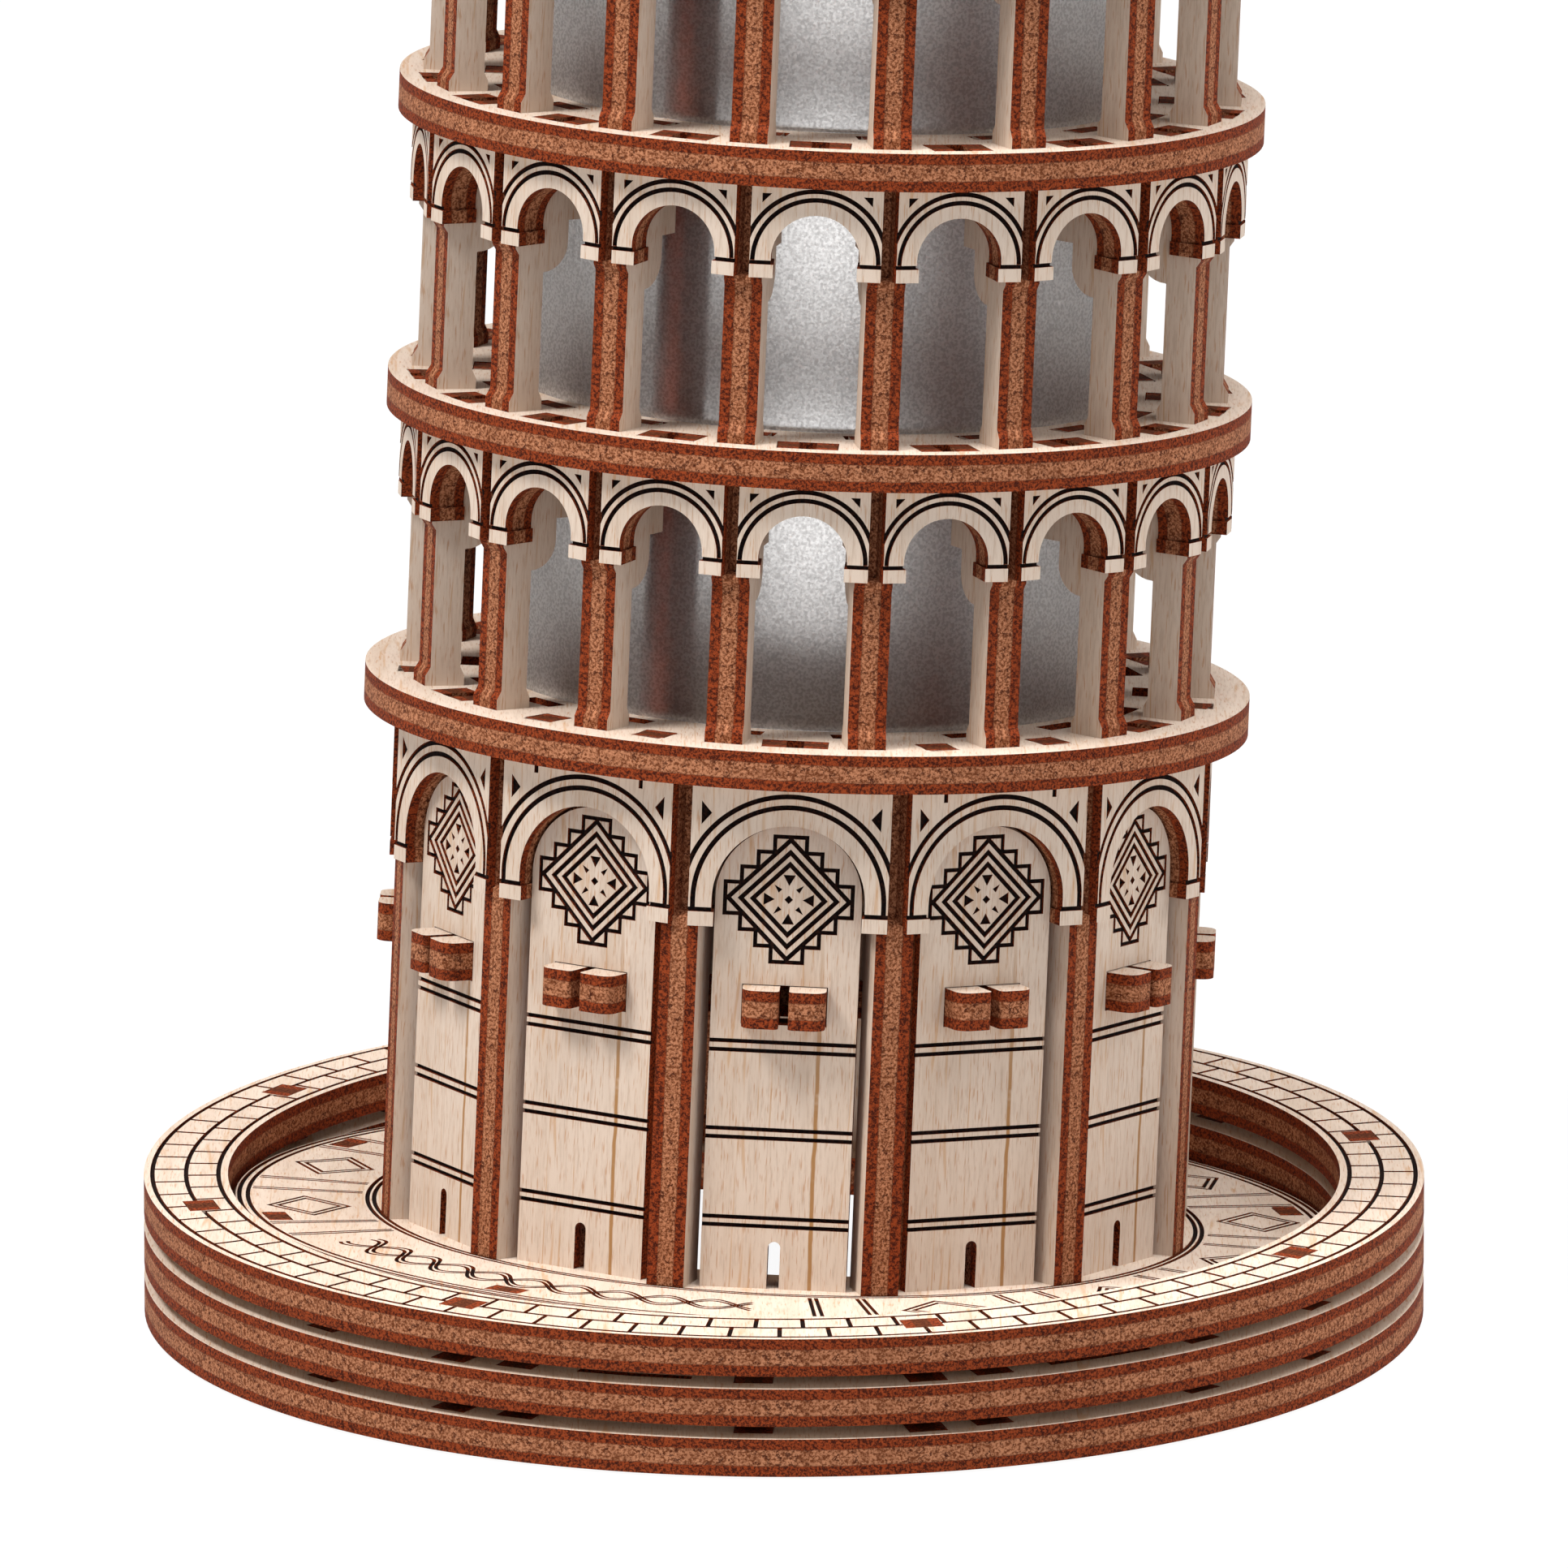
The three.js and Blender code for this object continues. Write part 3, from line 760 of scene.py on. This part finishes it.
GROUND_ARCH = Arch(
    half=10.35, foot=40.35, foot_inner=7.7, ledge=41.9, opening=7.95, spring=WALL_SPRING,
    top=FLOOR_TOPS[0] - PLY, tenon_top=FLOOR_TOPS[0],
    arcs=(9.9, 11.05), arcs_level=WALL_SPRING, arc_steps=60, arc_line=WIDE_LINE,
    foot_line=42.1, foot_line_inner=7.5, foot_line_width=LINE,
    corner=[(9.35, 53.55), (8.25, 52.3), (9.3, 51.05)],
)
GALLERY_ARCH = Arch(
    half=6.8, foot=17.65, foot_inner=4.32, ledge=19.07, opening=4.6, spring=19.75,
    top=STOREY - PLY, tenon_top=STOREY,
    arcs=(6.5, 7.4), arcs_level=19.47, arc_steps=48, arc_line=LINE,
    foot_line=19.25, foot_line_inner=4.2, foot_line_width=THIN_LINE,
    corner=[(5.72, 26.5), (4.72, 26.5), (5.7, 25.5)],
)
BELFRY_WALL_TOP = extent("belfry_cornice")[2] - FLOOR_TOPS[-1]
BELFRY_ARCH = Arch(
    half=7.72, foot=11.0, foot_inner=5.35, ledge=12.42, opening=5.6, spring=13.8,
    top=BELFRY_WALL_TOP, tenon_top=BELFRY_WALL_TOP + PLY,
    arcs=(6.8, 7.65), arcs_level=13.8, arc_steps=48, arc_line=LINE,
    foot_line=12.6, foot_line_inner=5.2, foot_line_width=THIN_LINE,
    corner=[(6.6, 22.6), (5.6, 22.6), (6.6, 21.4)],
)


def arch_mesh(name, arch, tenons, more_grooves=()):
    """A panel with two feet, a round opening, tenons on its top edge and engraved lines."""
    outline = [(arch.half, arch.foot), (arch.half, arch.top)]
    for left, right in sorted(tenons, reverse=True):
        outline += [(right, arch.top), (right, arch.tenon_top), (left, arch.tenon_top), (left, arch.top)]
    outline += [(-arch.half, arch.top), (-arch.half, arch.foot), (-arch.foot_inner, arch.foot),
                (-arch.foot_inner, arch.ledge), (-arch.opening, arch.ledge)]
    outline += arc((0, arch.spring), arch.opening, 180, 0, 32)
    outline += [(arch.opening, arch.ledge), (arch.foot_inner, arch.ledge), (arch.foot_inner, arch.foot)]
    grooves = [line(arc((0, arch.arcs_level), radius, 0, 180, arch.arc_steps), arch.arc_line)
               for radius in arch.arcs]
    for side in (-1, 1):
        ends = [(side * arch.foot_line_inner, arch.foot_line), (side * (arch.half + 1), arch.foot_line)]
        grooves.append(line(ends, arch.foot_line_width))
        grooves.append([[(side * x, y) for x, y in arch.corner]])
    return flat_part(name, outline, grooves=[*grooves, *more_grooves])


def split_tenon(half):
    """The two prongs of a tenon that is split in its middle."""
    return [(-half, -TENON_SPLIT), (TENON_SPLIT, half)]


# ---- ground storey ------------------------------------------------------------------------


def rose_diamond(half):
    return [(half, ROSE_LEVEL), (0, ROSE_LEVEL + half), (-half, ROSE_LEVEL), (0, ROSE_LEVEL - half)]


def rose_grooves():
    """The ornament on a wall panel: a stepped outline, three diamonds, triangles and a heart."""
    steps = []
    for index in range(1, ROSE_STEPS + 1):
        side = index * ROSE_STEP
        steps += [(side, (ROSE_STEPS + 1 - index) * ROSE_STEP), (side, (ROSE_STEPS - index) * ROSE_STEP)]
    quarter = steps[:-1]
    right = quarter + [(x, -y) for x, y in reversed(quarter)]
    stair = right + [(-x, y) for x, y in reversed(right)]
    grooves = [loop([(x, y + ROSE_LEVEL) for x, y in stair], THIN_LINE)]
    grooves += [loop(rose_diamond(half)) for half in ROSE_DIAMONDS]
    for quarter_turn in range(4):
        for triangle in (ROSE_INWARD, ROSE_OUTWARD):
            grooves.append([[(x, y + ROSE_LEVEL) for x, y in turned(triangle, 90 * quarter_turn)]])
    grooves.append([rose_diamond(ROSE_HEART)])
    return grooves


def wall_panel_mesh():
    """A panel with a round head, a narrow door at its foot and a gap for a pair of prongs."""
    bottom = PLATE_TOP
    outline = [(WALL_HALF, bottom), *arc((0, WALL_SPRING), WALL_HALF, 0, 180, 40), (-WALL_HALF, bottom),
               (-DOOR_HALF, bottom), *arc((0, DOOR_SPRING), DOOR_HALF, 180, 0, 12), (DOOR_HALF, bottom)]
    reach = PRONG_FAR + SLOT_GAP
    gap = rectangle(-reach, PRONG_BOTTOM - SLOT_GAP, reach, PRONG_BOTTOM + PLY + SLOT_GAP)
    beyond = WALL_HALF + 1
    grooves = [line([(-beyond, level), (beyond, level)], THIN_LINE) for level in WALL_LINES]
    return flat_part("wall_panel", outline, [gap], grooves + rose_grooves(), materials=WALL_PLYWOOD)


def ground_arch_meshes():
    """The panel with one split tenon, and the one with a pair of tenons and notches beside them."""
    arch = GROUND_ARCH
    inner_arc = arch.arcs[0]
    stems, notches = [], []
    for side in (-1, 1):
        stem = [(side * inner_arc, arch.spring + 0.05), (side * inner_arc, arch.foot_line)]
        stems.append(line(stem, arch.arc_line))
        middle = side * RELIEF_SIDE
        notches.append([rectangle(middle - RELIEF_HALF, arch.top - RELIEF_DEPTH,
                                  middle + RELIEF_HALF, arch.top + 0.1)])
    wide = arch_mesh("ground_arch_wide", arch, split_tenon(WIDE_TENON), stems)
    narrow = arch_mesh("ground_arch_narrow", arch, SMALL_TENONS, stems + notches)
    return wide, narrow


def build_ground_storey():
    """Wall panels, arch panels of two kinds in turn, piers between them, and the snap ring."""
    wall = wall_panel_mesh()
    wide, narrow = ground_arch_meshes()
    ceiling = FLOOR_TOPS[0] - PLY
    above_snap_ring = PRONG_BOTTOM + PLY + SNAP_CLEARANCE
    pier = flat_part("ground_pier", [
        (PIER_INNER, PLATE_TOP), (PIER_OUTER, PLATE_TOP), (PIER_OUTER, PIER_SHOULDER),
        (PIER_HEAD_OUTER, PIER_HEAD_BOTTOM), (PIER_HEAD_OUTER, ceiling), (PIER_HEEL, ceiling),
        (PIER_HEEL, above_snap_ring), (PIER_INNER, above_snap_ring),
    ])
    for number, azimuth in enumerate(azimuths(GROUND_BAYS, FACING), 1):
        arch = wide if number % 2 else narrow
        arch_at = TOWER @ facing(GROUND_ARCH_FRONT, azimuth)
        pier_at = TOWER @ radial(azimuth + 180 / GROUND_BAYS)
        place(f"wall_{number:02d}", wall, TOWER @ facing(WALL_FRONT, azimuth), f"wall_panel_{number}")
        place(f"ground_arch_{number:02d}", arch, arch_at, "ground_arcade")
        place(f"ground_pier_{number:02d}", pier, pier_at, "ground_arcade")
    place("snap_prongs", snap_ring_mesh(), TOWER @ lying(PRONG_BOTTOM, FACING), "snap_ring")


def prong_outline(side):
    """One prong of the snap ring, with its two outer corners rounded."""
    near, far = PRONG_ROUND_NEAR, PRONG_ROUND_FAR
    tip = [(PRONG_NEAR, -PRONG_TIP + 1.0),
           *arc((PRONG_NEAR + near, -PRONG_TIP + near), near, 180, 270, 6),
           *arc((PRONG_FAR - far, -PRONG_TIP + far), far, 270, 360, 8)]
    points = [(side * x, y) for x, y in tip]
    return points if side > 0 else points[::-1]


def snap_ring_mesh():
    """A ring whose pairs of prongs reach out through the wall panels."""
    root = -math.sqrt(SNAP_OUTER ** 2 - PRONG_FAR ** 2)
    pair = [(-PRONG_FAR, root), *prong_outline(-1), (-PRONG_NEAR, -SNAP_OUTER),
            (PRONG_NEAR, -SNAP_OUTER), *prong_outline(1), (PRONG_FAR, root)]
    outline = []
    for azimuth in azimuths(GROUND_BAYS):
        rim = [polar(SNAP_OUTER, azimuth + angle) for angle in (10, 15, 20)]
        outline += turned(pair, azimuth) + rim
    return flat_part("snap_ring", outline, [circle(SNAP_INNER, 96)], ends=False)


# ---- galleries ----------------------------------------------------------------------------


def gallery_column_mesh():
    """A column with a flared foot, a bracket towards the film and a head between the arches.

    The head is wider than the gap there, so it runs a little into the ends of both arch panels.
    """
    ceiling = STOREY - PLY
    foot = [(COLUMN_FOOT_INNER, 0), (COLUMN_FOOT_OUTER, 0), (COLUMN_FOOT_OUTER, FOOT_EDGE),
            (COLUMN_OUTER, FOOT_TOP)]
    capital = [(COLUMN_OUTER, CAPITAL_BOTTOM), (CAPITAL_OUTER, CAPITAL_EDGE),
               (CAPITAL_OUTER, CAPITAL_TOP), (COLUMN_HEAD_OUTER, COLUMN_HEAD_BOTTOM)]
    head = [(COLUMN_HEAD_OUTER, ceiling), (HEAD_TENON_OUTER, ceiling), (HEAD_TENON_OUTER, STOREY),
            (HEAD_TENON_INNER, STOREY), (HEAD_TENON_INNER, ceiling), (BRACKET_INNER, ceiling)]
    round_middle = (BRACKET_OUTER + BRACKET_ROUND, BRACKET_ROUND_LEVEL)
    bracket = [(BRACKET_INNER, BRACKET_LEVEL), (BRACKET_OUTER, BRACKET_LEVEL),
               *arc(round_middle, BRACKET_ROUND, 180, 270, 8)]
    inside = [(COLUMN_INNER, BRACKET_FOOT), (COLUMN_INNER, FOOT_TOP), (COLUMN_FOOT_INNER, FOOT_EDGE)]
    return flat_part("gallery_column", [*foot, *capital, *head, *bracket, *inside])


def floor_mesh(name, outer, arch_slots, head_azimuths):
    """A gallery floor. An arch slot is its azimuth, inner radius, outer radius and width."""
    slots = [slot(azimuth, inner - SLOT_GAP, far + SLOT_GAP, width)
             for azimuth, inner, far, width in arch_slots]
    slots += [slot(azimuth, HEAD_TENON_INNER - SLOT_GAP, HEAD_TENON_OUTER + SLOT_GAP, HEAD_SLOT)
              for azimuth in head_azimuths]
    return flat_part(name, circle(outer, 144), [circle(FLOOR_INNER, 96), *slots], ends=False)


def film_mesh(height):
    """A thin-walled tube. It stays flat shaded: smooth normals would bend the light like a lens."""
    vertices, faces = [], []
    for radius in (FILM_OUTER, FILM_OUTER - FILM_THICKNESS):
        for level in (0, height):
            vertices += [(x * MM, y * MM, level * MM) for x, y in circle(radius, FILM_FACETS)]
    for index in range(FILM_FACETS):
        after = (index + 1) % FILM_FACETS
        a, b, c, d = (band * FILM_FACETS + index for band in range(4))
        e, f, g, h = (band * FILM_FACETS + after for band in range(4))
        faces += [(a, e, f, b), (c, d, h, g), (b, f, h, d), (a, c, g, e)]
    mesh = bpy.data.meshes.new("film_tube")
    mesh.from_pydata(vertices, [], faces)
    mesh.materials.append(FILM)
    mesh.update()
    return mesh


def gallery_floor_meshes(bays, columns):
    """The first floor, slotted for the ground storey's arches, and the floor above each gallery."""
    back = GROUND_ARCH_FRONT - PLY
    ground_slots = [(azimuth, back, GROUND_ARCH_FRONT, 2 * WIDE_TENON + SLOT_GAP)
                    for azimuth in azimuths(GROUND_BAYS // 2, FACING)]
    for azimuth in azimuths(GROUND_BAYS // 2, FACING + 360 / GROUND_BAYS):
        for side in (-SMALL_SLOT_AZIMUTH, SMALL_SLOT_AZIMUTH):
            ground_slots.append((azimuth + side, back + SMALL_SLOT_STEP, GROUND_ARCH_FRONT,
                                 SMALL_TENON_WIDTH + SLOT_GAP))
    arch_slots = [(azimuth, ARCH_FRONT - PLY, ARCH_FRONT, ARCH_SLOT) for azimuth in bays]
    first_floor = floor_mesh("first_floor", FIRST_FLOOR_OUTER, ground_slots, columns)
    upper_floor = floor_mesh("gallery_floor", FLOOR_OUTER, arch_slots, columns)
    return first_floor, upper_floor


def build_galleries():
    """Six alike storeys: a floor, a film tube, and arch panels with columns between them."""
    bays = azimuths(GALLERY_BAYS, FACING)
    columns = azimuths(GALLERY_BAYS, FACING + 180 / GALLERY_BAYS)
    arch = arch_mesh("gallery_arch", GALLERY_ARCH, split_tenon(ARCH_TENON))
    column, film = gallery_column_mesh(), film_mesh(STOREY - PLY)
    first_floor, upper_floor = gallery_floor_meshes(bays, columns)
    for gallery in range(1, GALLERIES + 1):
        top = FLOOR_TOPS[gallery - 1]
        floor = first_floor if gallery == 1 else upper_floor
        arcade = f"gallery_{gallery}_arcade"
        place(f"gallery_{gallery}_deck", floor, TOWER @ lying(top - PLY), f"gallery_{gallery}_floor")
        place(f"gallery_{gallery}_film", film, TOWER @ lying(top), f"gallery_{gallery}_diffuser",
              material_slot="frosted_film")
        for number, azimuth in enumerate(bays, 1):
            name = f"gallery_{gallery}_arch_{number:02d}"
            place(name, arch, TOWER @ facing(ARCH_FRONT, azimuth, top), arcade)
        for number, azimuth in enumerate(columns, 1):
            name = f"gallery_{gallery}_column_{number:02d}"
            place(name, column, TOWER @ radial(azimuth, top), arcade)
    place("belfry_deck", upper_floor, TOWER @ lying(FLOOR_TOPS[-1] - PLY), "belfry_floor")


def build_posts():
    """Two posts inside the film, from the snap ring to the bell chamber."""
    bottom = PRONG_BOTTOM + PLY + SNAP_CLEARANCE
    outline = rectangle(POST_INNER, bottom, POST_OUTER, FLOOR_TOPS[-1])
    post = flat_part("shaft_post", outline, materials=POST_WOOD)
    for number in (1, 2):
        middle = TOWER.inverted() @ centre(f"shaft_post_{number}")
        azimuth = math.degrees(math.atan2(middle.x, -middle.y))
        place(f"post_{number}", post, TOWER @ radial(azimuth), f"shaft_post_{number}")


# ---- bell chamber -------------------------------------------------------------------------


def build_belfry():
    """The bell chamber: arch panels with piers between them, a cornice and a crown."""
    base = FLOOR_TOPS[-1]
    cornice_inner, cornice_outer, cornice_bottom, cornice_top = extent("belfry_cornice")
    crown_inner, crown_outer = extent("belfry_crown")[:2]
    arch = arch_mesh("belfry_arch", BELFRY_ARCH, split_tenon(ARCH_TENON))
    pier = flat_part("belfry_pier", [
        (BELFRY_PIER_INNER, 0), (BELFRY_PIER_OUTER, 0), (BELFRY_PIER_OUTER, BELFRY_CAP_BOTTOM),
        (BELFRY_PIER_HEAD, BELFRY_ARCH.foot), (BELFRY_PIER_HEAD, BELFRY_WALL_TOP),
        (BELFRY_PIER_INNER, BELFRY_WALL_TOP),
    ])
    bays = azimuths(BELFRY_BAYS, FACING)
    for number, azimuth in enumerate(bays, 1):
        arch_at = TOWER @ facing(BELFRY_FRONT, azimuth, base)
        pier_at = TOWER @ radial(azimuth + 180 / BELFRY_BAYS, base)
        place(f"belfry_arch_{number:02d}", arch, arch_at, "belfry_walls")
        place(f"belfry_pier_{number:02d}", pier, pier_at, "belfry_walls")
    slots = [slot(azimuth, BELFRY_FRONT - PLY - SLOT_GAP, BELFRY_FRONT + SLOT_GAP, ARCH_SLOT)
             for azimuth in bays]
    cornice_holes = [circle(cornice_inner, 96), *slots]
    cornice = flat_part("belfry_cornice", circle(cornice_outer, 144), cornice_holes, ends=False)
    crown = flat_part("belfry_crown", circle(crown_outer, 144), [circle(crown_inner, 96)], ends=False)
    place("cornice", cornice, TOWER @ lying(cornice_bottom), "belfry_cornice")
    place("crown", crown, TOWER @ lying(cornice_top + CROWN_GAP), "belfry_crown")


# ---- studio -------------------------------------------------------------------------------


def area_light(name, place_at, aim, size, power, colour=(1, 1, 1)):
    light = bpy.data.lights.new(name, "AREA")
    light.shape = "DISK"
    light.size = size
    light.energy = power
    light.color = colour
    lamp = bpy.data.objects.new(name, light)
    bpy.context.scene.collection.objects.link(lamp)
    lamp.location = place_at
    lamp.rotation_euler = (Vector(aim) - Vector(place_at)).to_track_quat("-Z", "Y").to_euler()


def shaft_lamp(name, low, high, radiance):
    """A slim lamp on the tower's axis, between two levels, that shines to the front."""
    light = bpy.data.lights.new(name, "AREA")
    light.shape = "RECTANGLE"
    light.size = SHAFT_LAMP_WIDTH * MM
    light.size_y = (high - low) * MM
    light.energy = radiance * math.pi * light.size * light.size_y
    lamp = bpy.data.objects.new(name, light)
    bpy.context.scene.collection.objects.link(lamp)
    middle = Matrix.Translation((0, 0, (low + high) / 2 * MM))
    lamp.matrix_world = TOWER @ middle @ Matrix.Rotation(math.radians(-90), 4, "X")


def build_studio():
    """A glowing pale floor, soft daylight all round, four large lamps and the lamps in the shaft."""
    corners = [(-FLOOR_HALF, -FLOOR_HALF, 0), (FLOOR_HALF, -FLOOR_HALF, 0),
               (FLOOR_HALF, FLOOR_HALF, 0), (-FLOOR_HALF, FLOOR_HALF, 0)]
    mesh = bpy.data.meshes.new("studio_floor")
    mesh.from_pydata(corners, [], [(0, 1, 2, 3)])
    mesh.materials.append(floor_material())
    floor = bpy.data.objects.new("studio_floor", mesh)
    floor.location.z = -0.0003      # a hair under the base, so that their faces don't coincide
    bpy.context.scene.collection.objects.link(floor)

    world = bpy.data.worlds.new("daylight")
    world.use_nodes = True
    background = world.node_tree.nodes["Background"]
    background.inputs["Color"].default_value = (1.0, 1.0, 1.0, 1)
    background.inputs["Strength"].default_value = 0.31
    bpy.context.scene.world = world
    aim = (0, 0, 0.08)
    area_light("key", (-1.20, -0.62, 2.12), aim, 0.8, 55, (1.0, 0.99, 0.975))
    area_light("top", (0.2, -0.25, 2.4), aim, 1.3, 54)
    area_light("fill", (1.9, -1.6, 0.9), aim, 1.2, 6)
    area_light("rim", (1.9, 0.5, 1.6), aim, 1.2, 21)
    for number, floor_top in enumerate(FLOOR_TOPS[:-1], 1):
        foot, middle = floor_top + SHAFT_FOOT, floor_top + SHAFT_MIDDLE
        shaft_lamp(f"shaft_lamp_{number}", middle, floor_top + STOREY - PLY, 0.68)
        shaft_lamp(f"shaft_foot_{number}", foot, middle, 0.50)
        if number > 1:
            shaft_lamp(f"shaft_glow_{number}", floor_top - PLY, foot, 0.24)


def build_camera():
    """Looks along +Y and slightly down, from far away with a long lens."""
    camera = bpy.data.cameras.new("camera")
    camera.lens = 609.0
    camera.sensor_width = 36.0
    camera.clip_start = 0.1
    camera.clip_end = 60
    viewer = bpy.data.objects.new("camera", camera)
    viewer.location = (0, -2.69911, 0.73469)
    viewer.rotation_euler = (math.radians(90 - 14.1013), 0, 0)
    bpy.context.scene.collection.objects.link(viewer)
    bpy.context.scene.camera = viewer


build_base_rings()
build_floor_plate()
build_ground_storey()
build_galleries()
build_posts()
build_belfry()
build_studio()
build_camera()
bpy.context.scene.view_settings.view_transform = "Standard"
